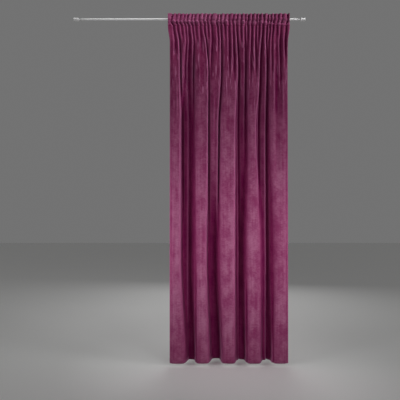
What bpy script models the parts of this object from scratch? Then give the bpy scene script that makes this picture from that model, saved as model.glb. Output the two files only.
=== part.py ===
"""A velvet curtain panel gathered on a round metal rod.

The panel is one piece of cloth, 1.40 m wide and 2.70 m long, hung 0.94 m wide. A heading tape
sewn behind its top draws it into pencil pleats and makes the tunnel that the rod runs through.
Below the tape the pleats run together into wider gathers, and those into four deep recesses
between five rounded folds at the hem.

Frame: origin on the rod's axis at the middle of its length, X along the rod, -Y towards the
room, +Z up. Metres.
"""

import math
from collections import namedtuple

import bmesh
import bpy
import numpy as np

# The rod
POLE_RADIUS = 0.008
POLE_BORE = 0.007
POLE_LENGTH = 1.676
POLE_SIDES = 24
FINIAL_RADIUS = 0.012
FINIAL_LENGTH = 0.036
STEM_RADIUS = 0.0045
STEM_LENGTH = 0.026
COLLAR_LENGTH = 0.004
SPIGOT_RADIUS = 0.0066
SPIGOT_LENGTH = 0.025
SPIGOT_CHAMFER = 0.001
FINIAL_CHAMFER = 0.0012
SEAT_GAP = 0.0003

# The panel as it was cut
CLOTH_WIDTH = 1.40
CLOTH_HALF = 0.0011
TAPE_HALF = 0.0005

# The panel as it hangs
BODY_WIDTH = 0.913
HEADING_WIDTH = 0.9427
PANEL_CENTRE = 0.3045
TOP_EDGE = 0.0388
HEM = -2.6615

# The heading, as heights above the rod's axis
UPPER_SEAM = 0.0145
LOWER_SEAM = -0.0156
TAPE_TOP = 0.036
TAPE_BOTTOM = -0.061
MID_TAPE = -0.037
SEAM_REACH = 0.0042
SEAM_PINCH = 0.24
TUNNEL_TOP = 0.0092
TUNNEL_TOP_BOW = 0.0032
TUNNEL_SHOULDER = 0.0044
TUNNEL_BOW = POLE_RADIUS + SEAT_GAP
RIDGE_BOW = 0.25

# Pleats in the heading
PLEAT_DEPTH = 0.0175
PLEAT_WIDE = 0.0078
TAPE_SHARE = 0.35
TAPE_GAP = 0.00045
EDGE_RETURN, EDGE_REACH = 0.014, 0.018

# Heights at which the tables below give their values, and those between which folds come and go
LEAVES_TAPE, NECK_STATION = -0.065, -0.19
STATIONS = (-0.40, -0.85, -1.86, HEM)
GATHER_FADE = 0.22
GROOVE_FADE = 0.45
HANGING_PLANE = -0.012

# The deep recesses between the folds, from the panel's left edge to its right one. Each has a
# mark at each station: where its left and right edges are across the hanging cloth, how soft
# each edge is, and how far back its floor lies.
Mark = namedtuple("Mark", "left soft_left right soft_right deep")
RECESSES = (
    (Mark(0.106, 0.008, 0.190, 0.006, 0.042), Mark(0.085, 0.004, 0.188, 0.010, 0.054),
     Mark(0.088, 0.008, 0.182, 0.028, 0.070), Mark(0.129, 0.016, 0.1955, 0.004, 0.100)),
    (Mark(0.302, 0.006, 0.404, 0.006, 0.006), Mark(0.293, 0.004, 0.384, 0.006, 0.016),
     Mark(0.288, 0.009, 0.368, 0.024, 0.072), Mark(0.315, 0.016, 0.3955, 0.004, 0.128)),
    (Mark(0.523, 0.004, 0.596, 0.006, 0.030), Mark(0.508, 0.004, 0.602, 0.008, 0.052),
     Mark(0.509, 0.010, 0.572, 0.028, 0.070), Mark(0.513, 0.015, 0.587, 0.004, 0.100)),
    (Mark(0.700, 0.005, 0.766, 0.006, 0.018), Mark(0.667, 0.004, 0.770, 0.008, 0.038),
     Mark(0.716, 0.026, 0.788, 0.036, 0.060), Mark(0.711, 0.014, 0.7875, 0.004, 0.090)),
)
# Past its right edge a recess runs on up a shoulder, the round left side of the next fold.
SHOULDER_SHARE, SHOULDER_AWAY, SHOULDER_SOFT = 0.34, 0.008, 0.020

# The pleats whose grooves run on below the gathers: x across the cloth at the tape and at the
# first three stations, half width, depth at those stations, and the height where a groove that
# doesn't reach the hem has run out.
Groove = namedtuple("Groove", "x_tape x_top x_mid x_low wide deep_top deep_mid deep_low ends")
GROOVES = (
    Groove(0.074, 0.082, 0.093, 0.093, 0.009, 0.050, 0.022, 0.012, -1.80),
    Groove(0.157, 0.142, 0.152, 0.147, 0.012, 0.036, 0.018, 0.014, None),
    Groove(0.187, 0.182, 0.186, 0.189, 0.008, 0.030, 0.010, 0.000, -0.90),
    Groove(0.274, 0.300, 0.299, 0.298, 0.007, 0.042, 0.034, 0.010, -1.90),
    Groove(0.398, 0.400, 0.379, 0.374, 0.009, 0.044, 0.036, 0.014, -1.75),
    Groove(0.518, 0.534, 0.530, 0.540, 0.009, 0.042, 0.020, 0.012, None),
    Groove(0.578, 0.588, 0.586, 0.590, 0.010, 0.036, 0.014, 0.006, -1.20),
    Groove(0.714, 0.700, 0.688, 0.694, 0.010, 0.044, 0.026, 0.006, -1.60),
    Groove(0.744, 0.755, 0.750, 0.755, 0.011, 0.044, 0.030, 0.024, None),
    Groove(0.819, 0.826, 0.828, 0.830, 0.024, 0.026, 0.010, 0.004, -1.40),
)

# The other pleats' valleys run out in the gathers below the tape.
Gather = namedtuple("Gather", "x_tape x ends")
GATHERS = (
    Gather(0.044, 0.034, -0.36), Gather(0.104, 0.090, -0.24), Gather(0.134, 0.118, -0.60),
    Gather(0.210, 0.198, -0.26), Gather(0.243, 0.236, -0.32), Gather(0.302, 0.290, -0.24),
    Gather(0.330, 0.318, -0.52), Gather(0.375, 0.379, -0.36), Gather(0.428, 0.422, -0.26),
    Gather(0.458, 0.460, -0.42), Gather(0.491, 0.497, -0.52), Gather(0.548, 0.552, -0.26),
    Gather(0.601, 0.604, -0.28), Gather(0.631, 0.626, -0.52), Gather(0.661, 0.666, -0.50),
    Gather(0.684, 0.692, -0.30), Gather(0.766, 0.772, -0.36), Gather(0.789, 0.790, -0.52),
    Gather(0.849, 0.858, -0.56), Gather(0.887, 0.896, -0.44),
)
GATHER_WIDE = 0.0105
GATHER_DEEP = 0.031

# Rows of the faceted cloth, and the threads between one pleat's valley and the next
HEADING_ROWS = (TAPE_TOP, UPPER_SEAM, TUNNEL_TOP, TUNNEL_SHOULDER, -TUNNEL_SHOULDER, LOWER_SEAM,
                MID_TAPE, TAPE_BOTTOM)
UPPER_ROWS = (TOP_EDGE,) + HEADING_ROWS + (-0.110, -0.180, -0.280)
LOWER_ROWS = (-0.400, -0.560, -0.800, -1.100, -1.450, -1.800, -2.110, -2.380, -2.570, HEM)
THREADS_TO_A_PLEAT = 4
FINE_STEPS = 2401

# Colours and finishes
VELVET = ("plum velvet", (0.165, 0.036, 0.088, 1.0), 0.95, 0.0)
TAPE = ("woven tape", (0.78, 0.76, 0.72, 1.0), 0.85, 0.0)
METAL = ("satin metal", (0.50, 0.50, 0.50, 1.0), 0.38, 1.0)


def clear_scene():
    for thing in list(bpy.data.objects):
        bpy.data.objects.remove(thing, do_unlink=True)


def material(name, colour, roughness, metallic):
    made = bpy.data.materials.new(name)
    made.use_nodes = True
    shader = made.node_tree.nodes["Principled BSDF"]
    shader.inputs["Base Color"].default_value = colour
    shader.inputs["Roughness"].default_value = roughness
    shader.inputs["Metallic"].default_value = metallic
    return made


def add_object(name, mesh, finish):
    thing = bpy.data.objects.new(name, mesh)
    thing.data.materials.append(finish)
    bpy.context.collection.objects.link(thing)
    return thing


def smooth_step(start, end, value):
    """0 at start, 1 at end, with no corner at either; start may be above or below end."""
    t = np.clip((value - start) / (end - start), 0.0, 1.0)
    return t * t * (3.0 - 2.0 * t)


def through_stations(z, values):
    """A value that runs smoothly from one station to the next; values may leave off the last."""
    for upper, lower, start, end in zip(STATIONS, STATIONS[1:], values, values[1:]):
        if z > lower:
            return start + (end - start) * smooth_step(upper, lower, z)
    return values[-1]


def heading_share(z):
    """How far the pleats are drawn in by the nearest row of stitches, 1 where none is near."""
    near = [math.exp(-(((z - seam) / SEAM_REACH) ** 2)) for seam in (LOWER_SEAM, TAPE_BOTTOM)]
    return 1.0 - SEAM_PINCH * max(near)


def groove_at(groove, z):
    """Where a groove is below the tape: its x, its half width and its depth."""
    x = through_stations(z, (groove.x_top, groove.x_mid, groove.x_low))
    deep = through_stations(z, (groove.deep_top, groove.deep_mid, groove.deep_low))
    if groove.ends is not None:
        deep = deep * smooth_step(groove.ends, groove.ends + GROOVE_FADE, z)
    return x, groove.wide, deep


def gather_at(gather, z):
    """The same for a gather."""
    deep = GATHER_DEEP * smooth_step(gather.ends, gather.ends + GATHER_FADE, z)
    return gather.x, GATHER_WIDE, deep


def valleys_at(z):
    """Each pleat's valley at height z, as x, half width and depth: the tape draws them into
    like pleats, and below it each goes its own way."""
    found = [(groove.x_tape, *groove_at(groove, z)) for groove in GROOVES]
    found += [(gather.x_tape, *gather_at(gather, z)) for gather in GATHERS]
    drawn = PLEAT_DEPTH * heading_share(z)
    moved = smooth_step(LEAVES_TAPE, STATIONS[0], z)
    eased = smooth_step(LEAVES_TAPE, NECK_STATION, z)
    valleys = []
    for pleat_x, x, wide, deep in found:
        valleys.append((
            pleat_x + (x - pleat_x) * moved,
            PLEAT_WIDE + (wide - PLEAT_WIDE) * eased,
            drawn + (deep - drawn) * eased,
        ))
    return valleys


def soft_edge(across, edge, soft):
    """0 well before the edge and 1 well past it."""
    return 0.5 + 0.5 * np.tanh((across - edge) / soft)


def recess_depth(across, z):
    """How far back the recesses take the cloth."""
    depth = np.zeros_like(across)
    for marks in RECESSES:
        left, soft_left, right, soft_right, deep = (
            through_stations(z, [mark[item] for mark in marks]) for item in range(len(Mark._fields))
        )
        opened = deep * smooth_step(NECK_STATION, STATIONS[0], z)
        wall = soft_edge(-across, -right, soft_right)
        shoulder = soft_edge(-across, -right - SHOULDER_AWAY, SHOULDER_SOFT)
        right_side = (1.0 - SHOULDER_SHARE) * wall + SHOULDER_SHARE * shoulder
        depth += opened * soft_edge(across, left, soft_left) * right_side
    return depth


def fold_depth(across, z):
    """How far back the cloth lies at each place across it, measured from its foremost line."""
    depth = recess_depth(across, z)
    for x, wide, deep in valleys_at(z):
        depth += deep * np.exp(-(((across - x) / wide) ** 2))
    from_edge = np.minimum(across, BODY_WIDTH - across)
    turned = EDGE_RETURN * smooth_step(LEAVES_TAPE, STATIONS[0], z)
    return depth + turned * np.exp(-((from_edge / EDGE_REACH) ** 2))


def line_length(x, y):
    return float(np.sum(np.hypot(np.diff(x), np.diff(y))))


def full_depth(x, depth):
    """The depth scaled so that the line across the cloth is as long as the cloth is wide."""
    low, high = 0.2, 3.0
    for _ in range(40):
        scale = 0.5 * (low + high)
        if line_length(x, scale * depth) < CLOTH_WIDTH:
            low = scale
        else:
            high = scale
    return scale * depth


def tunnel_bow(z):
    """How far a layer stands off the rod's axis where it passes round the rod."""
    stations = (LOWER_SEAM, -TUNNEL_SHOULDER, TUNNEL_SHOULDER, TUNNEL_TOP, UPPER_SEAM)
    bows = (0.0, TUNNEL_BOW, TUNNEL_BOW, TUNNEL_TOP_BOW, 0.0)
    return float(np.interp(z, stations, bows))


def cloth_line(z):
    """The panel's middle line at height z, as fine points: x, y. The valleys pass close round
    the rod, and the ridges in front of them hardly change."""
    across = np.linspace(0.0, BODY_WIDTH, FINE_STEPS)
    hung_width = HEADING_WIDTH + (BODY_WIDTH - HEADING_WIDTH) * smooth_step(TAPE_BOTTOM, NECK_STATION, z)
    x = PANEL_CENTRE + (across / BODY_WIDTH - 0.5) * hung_width
    depth = fold_depth(across, z)
    if z < TAPE_BOTTOM:
        depth = full_depth(x, depth)
    seated = 1.0 - smooth_step(TAPE_BOTTOM, STATIONS[0], z)
    behind = seated * np.max(depth) + (1.0 - seated) * np.mean(depth)
    back_line = -(CLOTH_HALF + 0.5 * SEAT_GAP) * seated + HANGING_PLANE * (1.0 - seated)
    bowed = RIDGE_BOW + (1.0 - RIDGE_BOW) * depth / np.max(depth)
    return x, depth - behind + back_line - tunnel_bow(z) * bowed


def thread_shares():
    """Where the threads that run down the cloth lie, as shares of its width: one in each pleat's
    valley, and others evenly between them."""
    valleys = sorted(row.x_tape for row in GROOVES + GATHERS)
    edges = [0.0] + valleys + [BODY_WIDTH]
    turns = np.arange(THREADS_TO_A_PLEAT * (len(edges) - 1) + 1) / THREADS_TO_A_PLEAT
    across = np.interp(turns, np.arange(len(edges)), edges)
    x, y = cloth_line(MID_TAPE)
    runs = np.concatenate([[0.0], np.cumsum(np.hypot(np.diff(x), np.diff(y)))])
    fine = np.linspace(0.0, BODY_WIDTH, FINE_STEPS)
    return np.interp(across, fine, runs) / runs[-1]


def at_shares(x, y, shares):
    runs = np.concatenate([[0.0], np.cumsum(np.hypot(np.diff(x), np.diff(y)))])
    wanted = shares * runs[-1]
    return np.interp(wanted, runs, x), np.interp(wanted, runs, y)


def both_faces(x, y, z, half):
    """Points in front of and behind a line at height z, half a thickness away from it."""
    along_x, along_y = np.gradient(x), np.gradient(y)
    size = np.hypot(along_x, along_y)
    out_x, out_y = along_y / size * half, -along_x / size * half
    front = [(a, b, z) for a, b in zip(x + out_x, y + out_y)]
    back = [(a, b, z) for a, b in zip(x - out_x, y - out_y)]
    return front, back


def join_rows(bm, upper, lower):
    """Faces between two rows of points; the lower one may have every second point only."""
    step = (len(upper) - 1) // (len(lower) - 1)
    for index in range(len(lower) - 1):
        top = upper[index * step:(index + 1) * step + 1]
        left, right = lower[index], lower[index + 1]
        if step == 1:
            bm.faces.new((top[0], left, right, top[1]))
        else:
            bm.faces.new((top[0], left, top[1]))
            bm.faces.new((top[1], left, right))
            bm.faces.new((top[1], right, top[2]))


def sheet_solid(name, rows):
    """A closed solid between front and back rows of points, given from the top down."""
    bm = bmesh.new()
    fronts = [[bm.verts.new(point) for point in front] for front, back in rows]
    backs = [[bm.verts.new(point) for point in back] for front, back in rows]
    for grid in (fronts, backs):
        for upper, lower in zip(grid, grid[1:]):
            join_rows(bm, upper, lower)
    for front, back in ((fronts[0], backs[0]), (fronts[-1], backs[-1])):
        join_rows(bm, front, back)
    for end in (0, -1):
        join_rows(bm, [row[end] for row in fronts], [row[end] for row in backs])
    bmesh.ops.recalc_face_normals(bm, faces=bm.faces)
    bmesh.ops.triangulate(bm, faces=bm.faces)
    mesh = bpy.data.meshes.new(name)
    bm.to_mesh(mesh)
    bm.free()
    mesh.shade_smooth()
    return mesh


def curtain_panel(finish):
    shares = thread_shares()
    rows = []
    for z in UPPER_ROWS:
        x, y = at_shares(*cloth_line(z), shares)
        rows.append(both_faces(x, y, z, CLOTH_HALF))
    for z in LOWER_ROWS:
        x, y = at_shares(*cloth_line(z), shares[::2])
        rows.append(both_faces(x, y, z, CLOTH_HALF))
    return add_object("curtain_panel", sheet_solid("curtain_panel", rows), finish)


def heading_tape(finish):
    """The tape behind the pleats: it touches each one at the back and bows out behind the rod."""
    shares = thread_shares()[::2]
    rows = []
    for z in HEADING_ROWS:
        x, y = at_shares(*cloth_line(z), shares)
        bow = tunnel_bow(z)
        cloth_back = -(CLOTH_HALF + 0.5 * SEAT_GAP) - bow
        foremost = TAPE_SHARE * PLEAT_DEPTH
        behind_rod = bow * (1.0 + foremost / TUNNEL_BOW)
        y = TAPE_HALF + TAPE_GAP + behind_rod + TAPE_SHARE * (y - cloth_back)
        rows.append(both_faces(x, y, z, TAPE_HALF))
    return add_object("heading_tape", sheet_solid("heading_tape", rows), finish)


def turned_mesh(name, profile, closed):
    """A solid turned about X from (x, radius) points; closed joins the last back to the first."""
    bm = bmesh.new()
    rings = []
    for x, radius in profile:
        if radius == 0.0:
            rings.append([bm.verts.new((x, 0.0, 0.0))])
            continue
        angles = [2.0 * math.pi * side / POLE_SIDES for side in range(POLE_SIDES)]
        rings.append([bm.verts.new((x, radius * math.cos(a), radius * math.sin(a))) for a in angles])
    pairs = list(zip(rings, rings[1:]))
    if closed:
        pairs.append((rings[-1], rings[0]))
    for one, two in pairs:
        for side in range(POLE_SIDES):
            after = (side + 1) % POLE_SIDES
            if len(one) == 1:
                bm.faces.new((one[0], two[side], two[after]))
            elif len(two) == 1:
                bm.faces.new((one[side], two[0], one[after]))
            else:
                bm.faces.new((one[side], two[side], two[after], one[after]))
    bmesh.ops.recalc_face_normals(bm, faces=bm.faces)
    mesh = bpy.data.meshes.new(name)
    bm.to_mesh(mesh)
    bm.free()
    mesh.shade_smooth()
    mesh.set_sharp_from_angle(angle=math.radians(35))
    return mesh


def rod_pole(finish):
    half = 0.5 * POLE_LENGTH
    profile = ((-half, POLE_BORE), (-half, POLE_RADIUS), (half, POLE_RADIUS), (half, POLE_BORE))
    return add_object("rod_pole", turned_mesh("rod_pole", profile, closed=True), finish)


def finials(finish):
    """A turned end on each end of the pole: a spigot in its bore, a collar, a stem and a cap."""
    stem_start = SEAT_GAP + COLLAR_LENGTH
    cap_start = STEM_LENGTH
    cap_end = STEM_LENGTH + FINIAL_LENGTH
    profile = (
        (-SPIGOT_LENGTH, 0.0),
        (-SPIGOT_LENGTH, SPIGOT_RADIUS - SPIGOT_CHAMFER),
        (-SPIGOT_LENGTH + SPIGOT_CHAMFER, SPIGOT_RADIUS),
        (SEAT_GAP, SPIGOT_RADIUS),
        (SEAT_GAP, POLE_RADIUS),
        (stem_start, POLE_RADIUS),
        (stem_start, STEM_RADIUS),
        (cap_start, STEM_RADIUS),
        (cap_start, FINIAL_RADIUS - FINIAL_CHAMFER),
        (cap_start + FINIAL_CHAMFER, FINIAL_RADIUS),
        (cap_end - FINIAL_CHAMFER, FINIAL_RADIUS),
        (cap_end, FINIAL_RADIUS - FINIAL_CHAMFER),
        (cap_end, 0.0),
    )
    mesh = turned_mesh("finial", profile, closed=False)
    for name, side in (("finial_left", -1), ("finial_right", 1)):
        finial = add_object(name, mesh, finish)
        finial.location = (side * 0.5 * POLE_LENGTH, 0.0, 0.0)
        if side < 0:
            finial.rotation_euler = (0.0, 0.0, math.pi)


def build():
    clear_scene()
    velvet = material(*VELVET)
    tape = material(*TAPE)
    metal = material(*METAL)
    rod_pole(metal)
    finials(metal)
    curtain_panel(velvet)
    heading_tape(tape)


build()
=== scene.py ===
"""The looks of a velvet curtain panel on its rod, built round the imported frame."""

import math
from collections import namedtuple

import bmesh
import bpy
import numpy as np
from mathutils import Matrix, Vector, noise


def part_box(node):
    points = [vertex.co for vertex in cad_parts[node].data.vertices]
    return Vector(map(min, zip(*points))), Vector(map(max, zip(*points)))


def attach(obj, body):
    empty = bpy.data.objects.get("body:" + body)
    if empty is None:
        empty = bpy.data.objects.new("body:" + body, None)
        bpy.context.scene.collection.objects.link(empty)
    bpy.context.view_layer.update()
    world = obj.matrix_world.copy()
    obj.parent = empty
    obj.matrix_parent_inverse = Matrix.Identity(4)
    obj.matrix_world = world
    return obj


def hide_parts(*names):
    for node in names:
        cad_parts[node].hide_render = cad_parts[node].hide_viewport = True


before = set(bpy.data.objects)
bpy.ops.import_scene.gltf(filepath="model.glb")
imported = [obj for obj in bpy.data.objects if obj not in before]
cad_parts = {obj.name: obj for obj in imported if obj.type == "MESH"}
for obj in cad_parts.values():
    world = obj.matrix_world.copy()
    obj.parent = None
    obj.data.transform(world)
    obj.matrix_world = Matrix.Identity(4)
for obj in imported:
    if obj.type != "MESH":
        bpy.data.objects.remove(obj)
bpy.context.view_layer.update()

# ---- sizes, in metres, from the frame ----
PANEL_LOW, PANEL_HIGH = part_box("curtain_panel")
TAPE_LOW, TAPE_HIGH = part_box("heading_tape")
POLE_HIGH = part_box("rod_pole")[1]
END_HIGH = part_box("finial_right")[1]
POLE_RADIUS = POLE_HIGH.z
POLE_END = POLE_HIGH.x
CAP_RADIUS = END_HIGH.z
CAP_END = END_HIGH.x
TOP_EDGE, HEM = PANEL_HIGH.z, PANEL_LOW.z
TAPE_TOP, TAPE_BOTTOM = TAPE_HIGH.z, TAPE_LOW.z
PANEL_CENTRE = 0.5 * (PANEL_LOW.x + PANEL_HIGH.x)

# ---- the cloth as cut and as it hangs ----
CLOTH_WIDTH = 1.40
CLOTH_THICK = 0.0016
HEM_THICK = 0.0028
HEM_HEIGHT = 0.080
SIDE_HEM = 0.025
TAPE_THICK = 0.0008
BODY_WIDTH = 0.913
HEADING_WIDTH = 0.9427
UPPER_SEAM = 0.0145
LOWER_SEAM = -0.0156
SEAM_REACH = 0.0042
SEAM_PINCH = 0.12
TUNNEL_TOP = 0.0092
TUNNEL_TOP_BOW = 0.0032
TUNNEL_SHOULDER = 0.0044
TUNNEL_BOW = POLE_RADIUS + 0.0003
RIDGE_BOW = 0.25

PLEAT_DEPTH = 0.0175
PLEAT_WIDE = 0.0078
TAPE_SHARE = 0.35
# Cloth and tape meet near y = 0, the cloth this far in front of it and the tape behind.
BACK_GAP, TAPE_GAP = 0.0005, 0.0006
EDGE_RETURN, EDGE_REACH = 0.014, 0.018

# Heights: where the cloth leaves the tape, where it has narrowed below it, and the stations
# at which the folds are set out.
LEAVES_TAPE, NECK_STATION = -0.065, -0.19
STATIONS = (-0.40, -0.85, -1.86, HEM)
GROOVE_FADE = 0.45
HANGING_PLANE = -0.012

# The recesses between the folds. Each has a mark at each station: where its left and right
# edges are across the cloth, how soft each edge is, and how far back its floor lies.
Mark = namedtuple("Mark", "left soft_left right soft_right deep")
RECESSES = (
    (Mark(0.106, 0.008, 0.190, 0.006, 0.042), Mark(0.085, 0.004, 0.188, 0.010, 0.054),
     Mark(0.088, 0.008, 0.182, 0.028, 0.070), Mark(0.129, 0.016, 0.1955, 0.004, 0.100)),
    (Mark(0.302, 0.006, 0.404, 0.006, 0.006), Mark(0.293, 0.004, 0.384, 0.006, 0.016),
     Mark(0.288, 0.009, 0.368, 0.024, 0.072), Mark(0.315, 0.016, 0.3955, 0.004, 0.128)),
    (Mark(0.523, 0.004, 0.596, 0.006, 0.030), Mark(0.508, 0.004, 0.602, 0.008, 0.052),
     Mark(0.509, 0.010, 0.572, 0.028, 0.070), Mark(0.513, 0.015, 0.587, 0.004, 0.100)),
    (Mark(0.700, 0.005, 0.766, 0.006, 0.018), Mark(0.667, 0.004, 0.770, 0.008, 0.038),
     Mark(0.716, 0.026, 0.788, 0.036, 0.060), Mark(0.711, 0.014, 0.7875, 0.004, 0.090)),
)
# Past its right edge a recess runs on up a shoulder, the round left side of the next fold.
SHOULDER_SHARE, SHOULDER_AWAY, SHOULDER_SOFT = 0.34, 0.008, 0.020

# The pleats whose grooves run on below the gathers: x across the cloth at the tape and at the
# first three stations, half width, depth at those stations, and the height where one that
# doesn't reach the hem has run out.
Groove = namedtuple("Groove", "x_tape x_top x_mid x_low wide deep_top deep_mid deep_low ends")
GROOVES = (
    Groove(0.074, 0.082, 0.093, 0.093, 0.009, 0.050, 0.022, 0.012, -1.80),
    Groove(0.157, 0.142, 0.152, 0.147, 0.012, 0.036, 0.018, 0.014, None),
    Groove(0.187, 0.182, 0.186, 0.189, 0.008, 0.030, 0.010, 0.000, -0.90),
    Groove(0.274, 0.300, 0.299, 0.298, 0.007, 0.042, 0.034, 0.010, -1.90),
    Groove(0.398, 0.400, 0.379, 0.374, 0.009, 0.044, 0.036, 0.014, -1.75),
    Groove(0.518, 0.534, 0.530, 0.540, 0.009, 0.042, 0.020, 0.012, None),
    Groove(0.578, 0.588, 0.586, 0.590, 0.010, 0.036, 0.014, 0.006, -1.20),
    Groove(0.714, 0.700, 0.688, 0.694, 0.010, 0.044, 0.026, 0.006, -1.60),
    Groove(0.744, 0.755, 0.750, 0.755, 0.011, 0.044, 0.030, 0.024, None),
    Groove(0.819, 0.826, 0.828, 0.830, 0.024, 0.026, 0.010, 0.004, -1.40),
)
# A groove is steeper on its left, where the fold beside it stands up in a lip.
STEEP_SIDE, SLOW_SIDE = 0.55, 1.35
LIP_AWAY, LIP_WIDE, LIP_SHARE = 1.35, 0.75, 0.16

# Small ridges that come up and die away again where the gathers settle into folds.
Ridge = namedtuple("Ridge", "x_top x_foot wide high top foot")
RIDGES = (
    Ridge(0.481, 0.474, 0.0055, 0.0110, -0.16, -0.52),
    Ridge(0.612, 0.655, 0.0060, 0.0110, -0.15, -0.42),
    Ridge(0.556, 0.548, 0.0050, 0.0080, -0.34, -0.62),
    Ridge(0.638, 0.640, 0.0050, 0.0080, -0.36, -0.60),
    Ridge(0.808, 0.802, 0.0060, 0.0100, -0.24, -0.82),
    Ridge(0.872, 0.880, 0.0070, 0.0080, -0.30, -0.95),
    Ridge(0.232, 0.228, 0.0060, 0.0080, -0.26, -0.70),
    Ridge(0.096, 0.096, 0.0045, 0.0100, -0.18, -0.58),
    Ridge(0.052, 0.060, 0.0070, 0.0070, -0.30, -0.90),
    Ridge(0.345, 0.338, 0.0060, 0.0080, -0.45, -1.00),
)

# Small folds that begin low down, at the foot of each fold's left side.
Crease = namedtuple("Crease", "x wide deep starts")
LOW_CREASES = (
    Crease(0.203, 0.007, 0.010, -1.80),
    Crease(0.400, 0.007, 0.010, -2.20),
    Crease(0.595, 0.008, 0.012, -1.90),
    Crease(0.798, 0.009, 0.010, -1.90),
)
CREASE_FADE = 0.40

# The other pleats' valleys run out in the gathers below the tape.
Gather = namedtuple("Gather", "x_tape x ends")
GATHERS = (
    Gather(0.044, 0.034, -0.36), Gather(0.104, 0.090, -0.24), Gather(0.134, 0.118, -0.60),
    Gather(0.210, 0.198, -0.26), Gather(0.243, 0.236, -0.32), Gather(0.302, 0.290, -0.24),
    Gather(0.330, 0.318, -0.52), Gather(0.375, 0.379, -0.36), Gather(0.428, 0.422, -0.26),
    Gather(0.458, 0.460, -0.42), Gather(0.491, 0.497, -0.52), Gather(0.548, 0.552, -0.26),
    Gather(0.601, 0.604, -0.28), Gather(0.631, 0.626, -0.52), Gather(0.661, 0.666, -0.50),
    Gather(0.684, 0.692, -0.30), Gather(0.766, 0.772, -0.36), Gather(0.789, 0.790, -0.52),
    Gather(0.849, 0.858, -0.56), Gather(0.887, 0.896, -0.44),
)
GATHER_WIDE = 0.0105
GATHER_DEEP = 0.031
GATHER_FADE = 0.22
PLEAT_COUNT = len(GROOVES) + len(GATHERS)

# Under the rod the tape draws the tunnel's loose cloth up into a row of puffs: places across
# the cloth, and the height of the row's middle there.
PuffRow = namedtuple("PuffRow", "x z")
PUFF_ROW = (
    PuffRow(0.0, -0.022), PuffRow(0.45, -0.027), PuffRow(0.70, -0.033), PuffRow(0.91, -0.050),
)
# How far a puff stands forward, its reach as a share of its ridge's width, how much of the
# valleys it fills, and how fast the row fades above and below its middle.
PUFF_DEEP, PUFF_WIDE, PUFF_FILLS = 0.0130, 0.42, 0.50
PUFF_RISE, PUFF_FALL = 0.012, 0.0100

# ---- the fine sheets ----
FINE_STEPS = 2401
CLOTH_COLUMNS = 280
# The panel's rows lie closest in the puffs, and wider apart down the gathers and the body.
RowBand = namedtuple("RowBand", "top bottom step")
ROW_BANDS = (
    RowBand(TOP_EDGE, -0.019, 0.0020), RowBand(-0.0202, -0.047, 0.0012),
    RowBand(-0.048, -0.075, 0.0020), RowBand(-0.078, -0.45, 0.0100),
)
BODY_TOP, BODY_ROWS = -0.45, 60
# A hem's second layer begins within this much each way, and the side hems this far under the
# tape.
LEDGE = 0.0012
HEM_CLEAR = 0.006
# The tape stays this far out from the rod's axis, and behind all cloth within the reach.
TAPE_ROWS = 0.0020
ROD_CLEAR = POLE_RADIUS + 0.0010
VALLEY_REACH = 0.0045
# Cloth is thinned where its back has less than this share of its front's area.
THINNINGS, THINNED, LEAST_BACK = 6, 0.75, 0.12
# Search for the depth at which a line across takes the whole width of the cloth.
LEAST_SCALE, MOST_SCALE, SCALE_STEPS = 0.2, 3.0, 30

# Small uneven undulations: how close they are across and down, and how high.
WAVES_ACROSS, WAVES_DOWN, WAVES_AT, FINER = 9.0, 3.2, 4.7, 3.1
WAVES_BROAD, WAVES_FINE = 0.0016, 0.0005
# The top edge's unevenness.
FRILLS_ACROSS, FRILLS_AT = 40.0, 2.3
TOP_UNEVEN = 0.0022

# ---- sewing, and the tape's drawn cords ----
STITCH_PITCH, STITCH_SHARE, STITCH_RADIUS = 0.0045, 0.66, 0.00032
HEM_PITCH, HEM_STITCH_IN = 0.0060, 0.0025
SEAM_INSET = 0.002
CORD_ROWS = (0.026, -0.026, -0.050)
CORD_PITCH, CORD_SHARE, CORD_RADIUS, CORD_PROUD = 0.0155, 0.60, 0.0008, 0.6
THREAD_SIDES, THREAD_SHOULDER = 6, 0.16

# ---- the rod's own sizes that its box doesn't give ----
POLE_BORE, POLE_EDGE = 0.007, 0.0004
SEAT_GAP = 0.0003
STEM_RADIUS, STEM_LENGTH = 0.0045, 0.026
COLLAR_LENGTH, COLLAR_EDGE = 0.004, 0.0005
SPIGOT_RADIUS, SPIGOT_LENGTH = 0.0066, 0.025
CAP_EDGE = 0.0016
ROD_SIDES, EDGE_STEPS, SHARP_ANGLE = 64, 5, 40

# The heading's pleats lean by a slope that is most at the left edge and none at the right. They
# spread by a share of their distance from the place across that stands straight.
LEFT_LEAN = 0.19
HEADER_FAN = 0.026
STANDS_STRAIGHT = 0.46

# Painted shade, most just below the tape, none from the middle down, and some again near the hem:
# its share against metres below the rod.
SHADE_BY_HEIGHT = (
    (0.02, 0.15), (0.055, 0.72), (0.30, 0.68), (0.60, 0.32), (1.20, 0.0), (2.35, 0.0), (2.66, 0.25)
)
# Painted highlight on short streaks: its share against metres below the rod.
STREAK_HIGHLIGHTS_BY_HEIGHT = ((0.14, 0.0), (0.24, 1.0), (0.50, 1.0), (0.78, 0.0))

# Painted shade where the pile lies behind the cloth beside it, and painted highlight where it
# stands out on a crest, along the side edges and on the puffs.
FRONT_REACH = 0.020
PAINTED_SHADE_DEPTH = 0.018
CREST_REACH = 0.007
CREST_HEIGHT = 0.0035
SIDE_HIGHLIGHT_REACH = 0.006
PUFF_HIGHLIGHT = 0.90


def smooth_step(start, end, value):
    t = np.clip((value - start) / (end - start), 0.0, 1.0)
    return t * t * (3.0 - 2.0 * t)


def smooth_bump(z, low, high):
    """A hump of the band's own height, half way up between low and high, and 0 outside."""
    t = np.clip((z - low) / (high - low), 0.0, 1.0)
    return (high - low) * math.sin(math.pi * t)


def through_stations(z, values):
    """A value that runs smoothly from one station to the next; values may leave off the last."""
    for upper, lower, start, end in zip(STATIONS, STATIONS[1:], values, values[1:]):
        if z > lower:
            return start + (end - start) * smooth_step(upper, lower, z)
    return values[-1]


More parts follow.
